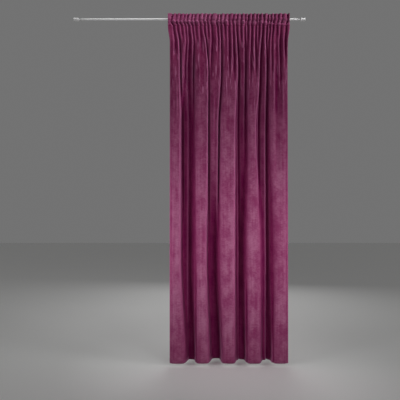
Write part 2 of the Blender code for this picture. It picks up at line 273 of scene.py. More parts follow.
def heading_share(z):
    """How far the pleats are drawn in by the nearest row of stitches, 1 where none is near."""
    seams = (LOWER_SEAM, TAPE_BOTTOM + SEAM_INSET)
    near = [math.exp(-(((z - seam) / SEAM_REACH) ** 2)) for seam in seams]
    return 1.0 - SEAM_PINCH * max(near)


def groove_at(groove, z):
    x = through_stations(z, (groove.x_top, groove.x_mid, groove.x_low))
    deep = through_stations(z, (groove.deep_top, groove.deep_mid, groove.deep_low))
    if groove.ends is not None:
        deep = deep * smooth_step(groove.ends, groove.ends + GROOVE_FADE, z)
    return x, groove.wide, deep


def gather_at(gather, z):
    deep = GATHER_DEEP * smooth_step(gather.ends, gather.ends + GATHER_FADE, z)
    return gather.x, GATHER_WIDE, deep


# The pleats' own unevenness, one draw for each.
SEED = 11
CHANCE = np.random.default_rng(SEED)
HEADER_LEAN = CHANCE.uniform(-0.07, 0.11, PLEAT_COUNT)
BAND_LEAN = CHANCE.uniform(-0.10, 0.10, PLEAT_COUNT)
PLEAT_FULLNESS = CHANCE.uniform(0.80, 1.20, PLEAT_COUNT)
PUFF_FULLNESS = CHANCE.uniform(0.0, 1.2, PLEAT_COUNT + 1)
PUFF_SHIFT = CHANCE.uniform(-0.0055, 0.0055, PLEAT_COUNT + 1)


def puff_share(x, z):
    """1 at the middle of the row of puffs, fading slowly above it and fast below."""
    above = z - float(np.interp(x, *zip(*PUFF_ROW)))
    return math.exp(-((above / (PUFF_RISE if above > 0.0 else PUFF_FALL)) ** 2))


def valleys_at(z, puffed=True):
    found = [(groove.x_tape, *groove_at(groove, z)) for groove in GROOVES]
    found += [(gather.x_tape, *gather_at(gather, z)) for gather in GATHERS]
    drawn = PLEAT_DEPTH * heading_share(z)
    moved = smooth_step(LEAVES_TAPE, STATIONS[0], z)
    eased = smooth_step(LEAVES_TAPE, NECK_STATION, z)
    fanned = HEADER_FAN * smooth_step(TAPE_BOTTOM, LOWER_SEAM, z)
    leaning = smooth_step(TAPE_BOTTOM, LOWER_SEAM, z) * (max(z, LOWER_SEAM) - UPPER_SEAM)
    fills = PUFF_FILLS if puffed else 0.0
    valleys = []
    for (pleat_x, x, wide, deep), header_lean, band_lean, full in zip(
        found, HEADER_LEAN, BAND_LEAN, PLEAT_FULLNESS
    ):
        header_lean += LEFT_LEAN * (1.0 - pleat_x / BODY_WIDTH)
        pleat_x += fanned * (pleat_x - STANDS_STRAIGHT)
        pleat_x += header_lean * leaning
        filled = drawn * full * (1.0 - fills * puff_share(pleat_x, z))
        pleat_x += band_lean * smooth_bump(z, TAPE_BOTTOM, LOWER_SEAM)
        valleys.append((
            pleat_x + (x - pleat_x) * moved,
            PLEAT_WIDE + (wide - PLEAT_WIDE) * eased,
            filled + (deep - filled) * eased,
            eased,
        ))
    return valleys


def soft_edge(across, edge, soft):
    return 0.5 + 0.5 * np.tanh((across - edge) / soft)


def recess_depth(across, z):
    depth = 0.0 * across
    for marks in RECESSES:
        left, soft_left, right, soft_right, deep = (
            through_stations(z, [mark[item] for mark in marks]) for item in range(5)
        )
        opened = deep * smooth_step(NECK_STATION, STATIONS[0], z)
        wall = soft_edge(-across, -right, soft_right)
        shoulder = soft_edge(-across, -right - SHOULDER_AWAY, SHOULDER_SOFT)
        right_side = (1.0 - SHOULDER_SHARE) * wall + SHOULDER_SHARE * shoulder
        depth += opened * soft_edge(across, left, soft_left) * right_side
    return depth


def puff_height(across, z, valleys):
    """How far the puffs stand forward, one on each ridge between two valleys."""
    edges = [0.0] + sorted(valley[0] for valley in valleys) + [BODY_WIDTH]
    height = 0.0 * across
    for left, right, full, shift in zip(edges, edges[1:], PUFF_FULLNESS, PUFF_SHIFT):
        middle = 0.5 * (left + right)
        across_it = (across - middle) / (PUFF_WIDE * (right - left))
        height += PUFF_DEEP * full * puff_share(middle, z - shift) * np.exp(-(across_it ** 2))
    return height


def fold_depth(across, z, puffed):
    valleys = valleys_at(z, puffed)
    depth = recess_depth(across, z)
    if puffed and z > LEAVES_TAPE:
        depth = depth - puff_height(across, z, valleys)
    for x, wide, deep, eased in valleys:
        steep = wide * (1.0 + (STEEP_SIDE - 1.0) * eased)
        slow = wide * (1.0 + (SLOW_SIDE - 1.0) * eased)
        reach = np.where(across < x, steep, slow)
        depth = depth + deep * np.exp(-(((across - x) / reach) ** 2))
        lip = LIP_SHARE * deep * eased
        depth = depth - lip * np.exp(-(((across - x + LIP_AWAY * wide) / (LIP_WIDE * wide)) ** 2))
    for ridge in RIDGES:
        if ridge.foot < z < ridge.top:
            down = (ridge.top - z) / (ridge.top - ridge.foot)
            x = ridge.x_top + (ridge.x_foot - ridge.x_top) * down
            high = ridge.high * math.sin(math.pi * down) ** 2
            depth = depth - high * np.exp(-(((across - x) / ridge.wide) ** 2))
    for crease in LOW_CREASES:
        risen = crease.deep * smooth_step(crease.starts, crease.starts - CREASE_FADE, z)
        depth = depth + risen * np.exp(-(((across - crease.x) / crease.wide) ** 2))
    from_edge = np.minimum(across, BODY_WIDTH - across)
    turned = EDGE_RETURN * smooth_step(LEAVES_TAPE, STATIONS[0], z)
    return depth + turned * np.exp(-((from_edge / EDGE_REACH) ** 2))


def line_length(x, y):
    return float(np.sum(np.hypot(np.diff(x), np.diff(y))))


def full_depth(x, depth):
    """The depth scaled until the line over it is as long as the cloth is wide."""
    low, high = LEAST_SCALE, MOST_SCALE
    for _ in range(SCALE_STEPS):
        scale = 0.5 * (low + high)
        if line_length(x, scale * depth) < CLOTH_WIDTH:
            low = scale
        else:
            high = scale
    return scale * depth


def tunnel_bow(z):
    """How far the cloth bows out round the rod at height z."""
    stations = (LOWER_SEAM, -TUNNEL_SHOULDER, TUNNEL_SHOULDER, TUNNEL_TOP, UPPER_SEAM)
    bows = (0.0, TUNNEL_BOW, TUNNEL_BOW, TUNNEL_TOP_BOW, 0.0)
    return float(np.interp(z, stations, bows))


def cloth_line(z, puffed=True):
    """The middle of the cloth at height z, with or without its puffs: x and y of fine steps."""
    across = np.linspace(0.0, BODY_WIDTH, FINE_STEPS)
    narrowed = smooth_step(TAPE_BOTTOM, NECK_STATION, z)
    hung_width = HEADING_WIDTH + (BODY_WIDTH - HEADING_WIDTH) * narrowed
    x = PANEL_CENTRE + (across / BODY_WIDTH - 0.5) * hung_width
    depth = fold_depth(across, z, puffed)
    if z < TAPE_BOTTOM:
        depth = full_depth(x, depth)
    seated = 1.0 - smooth_step(TAPE_BOTTOM, STATIONS[0], z)
    behind = seated * np.max(depth) + (1.0 - seated) * np.mean(depth)
    back_line = -(0.5 * CLOTH_THICK + BACK_GAP) * seated + HANGING_PLANE * (1.0 - seated)
    in_valleys = RIDGE_BOW + (1.0 - RIDGE_BOW) * depth / np.max(depth)
    return x, depth - behind + back_line - tunnel_bow(z) * in_valleys


def at_shares(x, y, shares):
    """The points at the given shares of a line's length."""
    runs = np.concatenate([[0.0], np.cumsum(np.hypot(np.diff(x), np.diff(y)))])
    wanted = shares * runs[-1]
    return np.interp(wanted, runs, x), np.interp(wanted, runs, y)


def cloth_rows():
    """Heights of the rows, with two at the step where the hem's second layer begins."""
    bands = [np.arange(band.top, band.bottom, -band.step) for band in ROW_BANDS]
    body = np.linspace(BODY_TOP, HEM, BODY_ROWS)
    hem_top = HEM + HEM_HEIGHT
    return -np.sort(-np.concatenate([*bands, body, [hem_top + LEDGE, hem_top - LEDGE]]))


def cloth_columns():
    """Places of the columns, as shares of the cloth's width, with two at each side hem's step."""
    side = np.array([SIDE_HEM - LEDGE, SIDE_HEM + LEDGE]) / CLOTH_WIDTH
    return np.sort(np.concatenate([np.linspace(0.0, 1.0, CLOTH_COLUMNS), side, 1.0 - side]))


def mesh_from_grid(name, points, rows, columns):
    faces = []
    for row in range(rows - 1):
        for column in range(columns - 1):
            a = row * columns + column
            faces.append((a, a + columns, a + columns + 1, a + 1))
    mesh = bpy.data.meshes.new(name)
    mesh.from_pydata(points, [], faces)
    mesh.update()
    mesh.shade_smooth()
    return mesh


def add_piece(name, mesh, finish):
    piece = bpy.data.objects.new(name, mesh)
    piece.data.materials.append(finish)
    bpy.context.collection.objects.link(piece)
    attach(piece, "root")
    return piece


def soft_waves(u, z):
    """Small uneven undulations of the cloth, stretched along its length."""
    point = Vector((u * CLOTH_WIDTH * WAVES_ACROSS, z * WAVES_DOWN, WAVES_AT))
    return WAVES_BROAD * noise.noise(point) + WAVES_FINE * noise.noise(point * FINER)


def frill(u):
    """How far up or down the top edge strays at a share of the way across, from -1 to 1."""
    return noise.noise(Vector((u * CLOTH_WIDTH * FRILLS_ACROSS, 0.0, FRILLS_AT)))


def slid(values, reach, combine):
    """The least, the mean or the most of the values within reach places of each one."""
    padded = np.pad(values, reach, mode="edge")
    return combine(np.lib.stride_tricks.sliding_window_view(padded, 2 * reach + 1), axis=1)


def painted_shade_and_highlight(y):
    """How much painted shade the pile gets at each fine place across the cloth, where it lies
    behind the cloth near it, and how much painted highlight, where it stands out on a crest.
    """
    step = BODY_WIDTH / (FINE_STEPS - 1)
    front = slid(slid(y, int(FRONT_REACH / step), np.min), int(0.5 * FRONT_REACH / step), np.mean)
    painted_shade = np.clip((y - front) / PAINTED_SHADE_DEPTH, 0.0, 1.0)
    around = slid(y, int(CREST_REACH / step), np.mean)
    painted_highlight = np.clip((around - y) / CREST_HEIGHT, 0.0, 1.0)
    return painted_shade, painted_highlight


def add_marks(mesh, name, values):
    layer = mesh.attributes.new(name, "FLOAT", "POINT")
    layer.data.foreach_set("value", np.asarray(values, dtype=np.float32))


Sheet = namedtuple("Sheet", "heights shares points outward")


def with_normals(heights, shares, points):
    """A sheet's grid of points, with the direction that its front faces at each one."""
    along = np.gradient(points, axis=1)
    size = np.hypot(along[:, :, 0], along[:, :, 1])
    level = np.zeros_like(size)
    outward = np.stack([along[:, :, 1] / size, -along[:, :, 0] / size, level], axis=2)
    return Sheet(heights, shares, points, outward)


def panel_sheet():
    """The panel's front surface as a grid, and the painted shade and painted highlight of its pile
    there.
    """
    heights, shares = cloth_rows(), cloth_columns()
    points = np.zeros((len(heights), len(shares), 3))
    marks = np.zeros((2, len(heights), len(shares)))
    # Painted highlight along the side edges.
    side_highlight = np.exp(-((np.minimum(shares, 1.0 - shares) * CLOTH_WIDTH / SIDE_HIGHLIGHT_REACH) ** 2))
    for row, z in enumerate(heights):
        line_x, line_y = cloth_line(z)
        x, y = at_shares(line_x, line_y, shares)
        calm = smooth_step(LEAVES_TAPE, NECK_STATION, z)
        waves = np.array([soft_waves(share, z) for share in shares])
        raised = smooth_step(UPPER_SEAM, TOP_EDGE, z)
        frills = np.array([frill(share) for share in shares])
        points[row] = np.column_stack([x, y + calm * waves, z + raised * TOP_UNEVEN * frills])
        for mark, values in zip(marks, painted_shade_and_highlight(line_y)):
            mark[row] = np.interp(x, line_x, values)
        across = BODY_WIDTH * (x - x[0]) / (x[-1] - x[0])
        # Painted highlight on the puffs, added to that on the crests.
        marks[1, row] += PUFF_HIGHLIGHT * (puff_height(across, z, valleys_at(z)) / PUFF_DEEP)
        marks[1, row] = np.clip(np.maximum(marks[1, row], side_highlight), 0.0, 1.0)
    middle = with_normals(heights, shares, points)
    front = middle.points + 0.5 * CLOTH_THICK * middle.outward
    return Sheet(heights, shares, front, middle.outward), marks


def on_sheet(sheet, z, share, away):
    """The point at height z and a share of the way across, that far in front of the sheet."""
    row = np.interp(-z, -sheet.heights, np.arange(len(sheet.heights)))
    column = np.interp(share, sheet.shares, np.arange(len(sheet.shares)))
    r = min(int(row), len(sheet.heights) - 2)
    c = min(int(column), len(sheet.shares) - 2)
    down, across = row - r, column - c
    raised = sheet.points[r:r + 2, c:c + 2] + away * sheet.outward[r:r + 2, c:c + 2]
    upper = raised[0, 0] * (1.0 - across) + raised[0, 1] * across
    lower = raised[1, 0] * (1.0 - across) + raised[1, 1] * across
    return Vector(upper * (1.0 - down) + lower * down)


def cell_normals(points):
    return np.cross(points[1:, 1:] - points[:-1, :-1], points[:-1, 1:] - points[1:, :-1])


def fitted_thickness(points, thick):
    """Thins the cloth where its back would fold through itself inside a tight crest."""
    facing = np.cross(np.gradient(points, axis=0), np.gradient(points, axis=1))
    facing /= np.linalg.norm(facing, axis=2, keepdims=True)
    front = cell_normals(points)
    for _ in range(THINNINGS):
        back = cell_normals(points - thick[:, :, None] * facing)
        folded = np.sum(front * back, axis=2) < LEAST_BACK * np.sum(front * front, axis=2)
        near = np.zeros(thick.shape, dtype=bool)
        for rows in (slice(None, -1), slice(1, None)):
            for columns in (slice(None, -1), slice(1, None)):
                near[rows, columns] |= folded
        thick = np.where(near, THINNED * thick, thick)
    return thick


def panel_cloth(sheet, marks, front_finish, back_finish):
    rows, columns = len(sheet.heights), len(sheet.shares)
    mesh = mesh_from_grid("panel_cloth", sheet.points.reshape(-1, 3).tolist(), rows, columns)
    # Painted shade and painted highlight, carried to the material.
    add_marks(mesh, "painted_shade", marks[0].ravel())
    add_marks(mesh, "painted_highlight", marks[1].ravel())
    piece = add_piece("panel_cloth", mesh, front_finish)
    piece.data.materials.append(back_finish)
    double = piece.vertex_groups.new(name="layers")
    from_side = np.minimum(sheet.shares, 1.0 - sheet.shares) * CLOTH_WIDTH
    in_hem = sheet.heights < HEM + HEM_HEIGHT
    below_tape = sheet.heights < TAPE_BOTTOM - HEM_CLEAR
    doubled = in_hem[:, None] | (below_tape[:, None] & (from_side < SIDE_HEM)[None, :])
    thick = fitted_thickness(sheet.points, np.where(doubled, HEM_THICK, CLOTH_THICK))
    for place, share in enumerate((thick / HEM_THICK).ravel().tolist()):
        double.add([place], share, "REPLACE")
    solid = piece.modifiers.new("thickness", "SOLIDIFY")
    solid.thickness = HEM_THICK
    solid.vertex_group = "layers"
    solid.offset = -1.0
    solid.material_offset = 1
    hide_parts("curtain_panel")
    return piece


def tape_sheet():
    """The tape's middle as a grid: it lies behind the pleats, in them for a share of their
    depth, and bows out behind the rod."""
    heights = np.arange(TAPE_TOP, TAPE_BOTTOM - 0.5 * TAPE_ROWS, -TAPE_ROWS)
    shares = np.linspace(0.0, 1.0, CLOTH_COLUMNS)
    points = np.zeros((len(heights), len(shares), 3))
    for row, z in enumerate(heights):
        x, y = at_shares(*cloth_line(z, puffed=False), shares)
        bow = tunnel_bow(z)
        cloth_back = -(0.5 * CLOTH_THICK + BACK_GAP) - bow
        foremost = TAPE_SHARE * PLEAT_DEPTH
        behind_rod = bow * (1.0 + foremost / TUNNEL_BOW)
        y = 0.5 * TAPE_THICK + TAPE_GAP + behind_rod + TAPE_SHARE * (y - cloth_back)
        line_x, line_y = cloth_line(z)
        rearmost = slid(line_y, int(VALLEY_REACH / BODY_WIDTH * FINE_STEPS), np.max)
        against_cloth = 0.5 * (CLOTH_THICK + TAPE_THICK) + TAPE_GAP
        y = np.maximum(y, np.interp(x, line_x, rearmost) + against_cloth)
        if abs(z) < ROD_CLEAR:
            y = np.maximum(y, math.sqrt(ROD_CLEAR ** 2 - z ** 2))
        points[row] = np.column_stack([x, y, np.full_like(x, z)])
    return with_normals(heights, shares, points)


def tape_cloth(sheet, finish):
    points = sheet.points.reshape(-1, 3).tolist()
    mesh = mesh_from_grid("tape_cloth", points, len(sheet.heights), len(sheet.shares))
    piece = add_piece("tape_cloth", mesh, finish)
    solid = piece.modifiers.new("thickness", "SOLIDIFY")
    solid.thickness = TAPE_THICK
    solid.offset = 0.0
    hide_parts("heading_tape")
    return piece


# ---- threads and cords ----

def across_runs(sheet, z, away, pitch, share_of_pitch):
    """Where the thread shows along a row that runs across the sheet: start and end points."""
    count = int(CLOTH_WIDTH / pitch)
    half = 0.5 * share_of_pitch
    return [(on_sheet(sheet, z, (turn + 0.5 - half) / count, away),
             on_sheet(sheet, z, (turn + 0.5 + half) / count, away)) for turn in range(count)]


def down_runs(sheet, share, top, bottom, away, pitch, share_of_pitch):
    """The same along a column that runs down the sheet."""
    count = int((top - bottom) / pitch)
    half = 0.5 * share_of_pitch * pitch
    middles = [top - (turn + 0.5) * pitch for turn in range(count)]
    return [(on_sheet(sheet, z + half, share, away), on_sheet(sheet, z - half, share, away))
            for z in middles]


def threads(name, runs, radius, finish):
    """One joined mesh of short rounded lengths of thread, one for each run."""
    points, faces = [], []
    for start, end in runs:
        along = end - start
        side = along.cross(Vector((0.0, 0.0, 1.0)) if abs(along.z) < 0.5 * along.length
                           else Vector((1.0, 0.0, 0.0))).normalized()
        up = side.cross(along).normalized()
        first = len(points)
        points.append(start)
        for place in (THREAD_SHOULDER, 1.0 - THREAD_SHOULDER):
            centre = start + place * along
            for turn in range(THREAD_SIDES):
                angle = 2.0 * math.pi * turn / THREAD_SIDES
                points.append(centre + radius * (math.cos(angle) * side + math.sin(angle) * up))
        points.append(end)
        last = len(points) - 1
        for turn in range(THREAD_SIDES):
            after = (turn + 1) % THREAD_SIDES
            one, two = first + 1 + turn, first + 1 + after
            faces.append((first, two, one))
            faces.append((one, two, two + THREAD_SIDES, one + THREAD_SIDES))
            faces.append((last, one + THREAD_SIDES, two + THREAD_SIDES))
    mesh = bpy.data.meshes.new(name)
    mesh.from_pydata(points, [], faces)
    mesh.update()
    mesh.shade_smooth()
    return add_piece(name, mesh, finish)


def sewing(panel, tape, plum_thread, pale_thread):
    seams = (UPPER_SEAM, LOWER_SEAM, TAPE_BOTTOM + SEAM_INSET)
    front = [run for z in seams
             for run in across_runs(panel, z, 0.0, STITCH_PITCH, STITCH_SHARE)]
    threads("seam_stitches", front, STITCH_RADIUS, plum_thread)
    tape_back = -0.5 * TAPE_THICK
    seams = (TAPE_TOP - SEAM_INSET,) + seams
    back = [run for z in seams
            for run in across_runs(tape, z, tape_back, STITCH_PITCH, STITCH_SHARE)]
    threads("tape_stitches", back, STITCH_RADIUS, pale_thread)
    cord_back = tape_back - CORD_PROUD * CORD_RADIUS
    cords = [run for z in CORD_ROWS
             for run in across_runs(tape, z, cord_back, CORD_PITCH, CORD_SHARE)]
    threads("tape_cords", cords, CORD_RADIUS, pale_thread)
    behind = -HEM_THICK
    hem_row = HEM + HEM_HEIGHT - HEM_STITCH_IN
    hems = across_runs(panel, hem_row, behind, HEM_PITCH, STITCH_SHARE)
    side = (SIDE_HEM - HEM_STITCH_IN) / CLOTH_WIDTH
    for share in (side, 1.0 - side):
        top = TAPE_BOTTOM - 2.0 * HEM_CLEAR
        hems += down_runs(panel, share, top, hem_row, behind, HEM_PITCH, STITCH_SHARE)
    threads("hem_stitches", hems, STITCH_RADIUS, plum_thread)


# ---- the rod ----

def turned(name, profile, closed, finish, slot):
    """A solid turned about X from (x, radius) points, its first and last on the axis or joined."""
    bm = bmesh.new()
    rings = []
    for x, radius in profile:
        if radius == 0.0:
            rings.append([bm.verts.new((x, 0.0, 0.0))])
            continue
        angles = [2.0 * math.pi * side / ROD_SIDES for side in range(ROD_SIDES)]
        rings.append(
            [bm.verts.new((x, radius * math.cos(a), radius * math.sin(a))) for a in angles])
    pairs = list(zip(rings, rings[1:]))
    if closed:
        pairs.append((rings[-1], rings[0]))
    for one, two in pairs:
        for side in range(ROD_SIDES):
            after = (side + 1) % ROD_SIDES
            loop = [one[side % len(one)], two[side % len(two)],
                    two[after % len(two)], one[after % len(one)]]
            bm.faces.new(list(dict.fromkeys(loop)))
    bmesh.ops.recalc_face_normals(bm, faces=bm.faces)
    mesh = bpy.data.meshes.new(name)
    bm.to_mesh(mesh)
    bm.free()
    mesh.shade_smooth()
    mesh.set_sharp_from_angle(angle=math.radians(SHARP_ANGLE))
    return add_piece(name, mesh, finish)


def rounded(x, radius, turn_in, way):
    """Points of a small round edge where a turned solid's side meets its end face."""
    angles = [math.pi / 2 * step / EDGE_STEPS for step in range(EDGE_STEPS + 1)]
    points = [(x - way * turn_in * (1.0 - math.sin(a)), radius - turn_in * (1.0 - math.cos(a)))
              for a in angles]
    return points if way > 0 else points[::-1]


def rod(pole_finish, end_finish):
    profile = [(-POLE_END, POLE_BORE)]
    profile += rounded(-POLE_END, POLE_RADIUS, POLE_EDGE, -1)
    profile += rounded(POLE_END, POLE_RADIUS, POLE_EDGE, 1)
    profile += [(POLE_END, POLE_BORE)]
    tube = turned("rod_tube", profile, True, pole_finish, "pole_metal")
    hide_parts("rod_pole")
    for name, side in (("left", -1), ("right", 1)):
        collar_end = POLE_END + SEAT_GAP + COLLAR_LENGTH
        cap_start = POLE_END + STEM_LENGTH
        profile = [(POLE_END - SPIGOT_LENGTH, 0.0), (POLE_END - SPIGOT_LENGTH, SPIGOT_RADIUS)]
        profile += [(POLE_END + SEAT_GAP, SPIGOT_RADIUS)]
        profile += rounded(POLE_END + SEAT_GAP, POLE_RADIUS, COLLAR_EDGE, -1)
        profile += rounded(collar_end, POLE_RADIUS, COLLAR_EDGE, 1)
        profile += [(collar_end, STEM_RADIUS), (cap_start, STEM_RADIUS)]
        profile += rounded(cap_start, CAP_RADIUS, CAP_EDGE, -1)
        profile += rounded(CAP_END, CAP_RADIUS, CAP_EDGE, 1)
        profile += [(CAP_END, 0.0)]
        profile = [(side * x, radius) for x, radius in profile]
        end = turned("end_" + name, profile, False, end_finish, "finial_metal")
        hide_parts("finial_" + name)


# ---- materials ----
# Noises over a piece's own coordinates, squeezed or drawn out along each axis.
Noise = namedtuple("Noise", "stretch scale detail roughness")
EVEN = (1.0, 1.0, 1.0)
CLOUDS = Noise((1.0, 1.0, 0.7), 14.0, 5.0, 0.6)
RIPPLES = Noise((1.0, 1.0, 2.1), 46.0, 4.0, 0.6)
STREAKS = Noise((1.0, 1.0, 0.035), 75.0, 3.0, 0.55)
# Places the short streaks of painted highlight in the gathers.
STREAK_HIGHLIGHT_NOISE = Noise((1.0, 1.0, 0.10), 88.0, 1.5, 0.5)
PILE = Noise(EVEN, 700.0, 2.0, 0.5)
BACK_CLOUDS = Noise(EVEN, 9.0, 4.0, 0.5)
TAPE_WEAR = Noise(EVEN, 60.0, 5.0, 0.5)
GRAIN = Noise((6.0, 900.0, 900.0), 1.0, 3.0, 0.5)

# How much each noise has to do with how the pile lies, and where the nap is dark and light.
CLOUDS_SHARE, RIPPLES_SHARE, STREAKS_SHARE = 0.50, 0.28, 0.22
NAP_DARK_AT, NAP_LIGHT_AT = 0.41, 0.61
# The noise's level where the painted highlight streaks begin and where they are full, and how
# full.
STREAK_HIGHLIGHT_FROM, STREAK_HIGHLIGHT_FULL, STREAK_HIGHLIGHT_MOST = 0.57, 0.68, 0.85
# The pile is painted darker, as shade, from front to back between these places.
PILE_FRONT, PILE_BACK = -0.036, 0.034
# The most painted highlight on crests, puffs and side edges.
PAINTED_HIGHLIGHT_MOST = 0.55

# Pairs of a dark and a light tone.
Tones = namedtuple("Tones", "dark light")
OPEN_PILE_TONES = Tones((0.183, 0.027, 0.087), (0.292, 0.099, 0.181))
# Tones of painted shade: between the folds, then just below the rod and near the hem.
PAINTED_SHADE_TONES = Tones((0.117, 0.003, 0.046), (0.170, 0.016, 0.071))
HEIGHT_SHADE_TONES = Tones((0.112, 0.0003, 0.034), (0.174, 0.002, 0.056))
BACK_WEAVE = Tones((0.150, 0.030, 0.076), (0.190, 0.044, 0.100))
TAPE_WEAVE = Tones((0.68, 0.66, 0.61), (0.80, 0.78, 0.74))
PLUM_THREAD = Tones((0.14, 0.020, 0.060), (0.22, 0.050, 0.110))
PALE_THREAD = Tones((0.70, 0.68, 0.63), (0.82, 0.80, 0.76))
# Tones of painted highlight: on crests, puffs and side edges, then on streaks in the gathers.
PAINTED_HIGHLIGHT_TONE = (0.40, 0.12, 0.25, 1.0)
STREAK_HIGHLIGHT_TONE = (0.43, 0.15, 0.28, 1.0)
FLOOR_TONE = (0.86, 0.86, 0.85, 1.0)
POLE_TONE, END_TONE = 0.78, 0.74
TONE_DARK_AT, TONE_LIGHT_AT = 0.32, 0.70

# Bumps: how strong and how high.
Relief = namedtuple("Relief", "strength distance")
CRUSHED = Relief(0.30, 0.0016)
PILE_RELIEF = Relief(0.25, 0.0006)
BACK_RELIEF = Relief(0.35, 0.0004)
TAPE_RELIEF = Relief(0.5, 0.0004)
# How close threads lie in the two weaves, and the twists in a sewing thread.
BACK_THREADS, TAPE_THREADS = 1500.0, 2200.0
THREAD_TWIST = 320.0

# The rod's metal: its grain's two tones as shares of its own tone, and its roughness.
METAL_TONES = Tones((0.92, 0.92, 0.93), (1.05, 1.05, 1.05))
METAL_SMOOTHEST, METAL_ROUGHEST = 0.66, 0.78
METAL_SHINE = 0.45


def new_material(name, inputs):
    """A material, its nodes and its shader."""
    made = bpy.data.materials.new(name)
    made.use_nodes = True
    tree = made.node_tree
    shader = tree.nodes["Principled BSDF"]
    feed(tree, shader, inputs)
    return made, tree, shader


def own_place(tree):
    """Each point's place in its piece's own coordinates."""
    return tree.nodes.new("ShaderNodeTexCoord").outputs["Object"]


def feed(tree, node, inputs):
    """Gives a node's inputs their values: each a number, a colour or another node's output."""
    for name, value in inputs.items():
        if isinstance(value, bpy.types.NodeSocket):
            tree.links.new(value, node.inputs[name])
        else:
            node.inputs[name].default_value = value


def two_tones(tree, factor, tones, dark_at=TONE_DARK_AT, light_at=TONE_LIGHT_AT):
    """A ramp between two colours, driven by a noise."""
    ramp = tree.nodes.new("ShaderNodeValToRGB")
    for element, tone, at in zip(ramp.color_ramp.elements, tones, (dark_at, light_at)):
        element.position = at
        element.color = (*tone, 1.0)
    feed(tree, ramp, {"Fac": factor})
    return ramp.outputs["Color"]


def stretched_noise(tree, place, wanted):
    mapping = tree.nodes.new("ShaderNodeMapping")
    feed(tree, mapping, {"Scale": wanted.stretch, "Vector": place})
    made = tree.nodes.new("ShaderNodeTexNoise")
    feed(tree, made, {"Scale": wanted.scale, "Detail": wanted.detail,
                      "Roughness": wanted.roughness, "Vector": mapping.outputs["Vector"]})
    return made.outputs["Fac"]


def calculated(tree, operation, *values):
    made = tree.nodes.new("ShaderNodeMath")
    made.operation = operation
    feed(tree, made, dict(enumerate(values)))
    return made.outputs["Value"]


def mixed(tree, factor, one, two):
    """Colour one, run into colour two by the factor."""
    made = tree.nodes.new("ShaderNodeMix")
    made.data_type = "RGBA"
    feed(tree, made, {"Factor": factor, "A": one, "B": two})
    return made.outputs["Result"]


def attribute(tree, name):
    made = tree.nodes.new("ShaderNodeAttribute")
    made.attribute_name = name
    return made.outputs["Fac"]


def bumped(tree, height, relief, inputs=None):
    made = tree.nodes.new("ShaderNodeBump")
    feed(tree, made, {"Strength": relief.strength, "Distance": relief.distance, "Height": height})
    feed(tree, made, inputs or {})
    return made.outputs["Normal"]


def weighed(tree, parts):
    """The sum of several values, each times its own weight."""
    total = 0.0
    for value, weight in parts:
        total = calculated(tree, "MULTIPLY_ADD", value, weight, total)
    return total


def by_height(tree, height, table):
    """A value that runs through the table's steps, each of metres below the rod and the value."""
    reach = table[-1][0]
    ramp = tree.nodes.new("ShaderNodeValToRGB")
    for below, value in table[1:-1]:
        ramp.color_ramp.elements.new(below / reach)
    for element, (below, value) in zip(ramp.color_ramp.elements, table):
        element.position = below / reach
        element.color = (value, value, value, 1.0)
    feed(tree, ramp, {"Fac": calculated(tree, "DIVIDE", height, -reach)})
    return ramp.outputs["Color"]


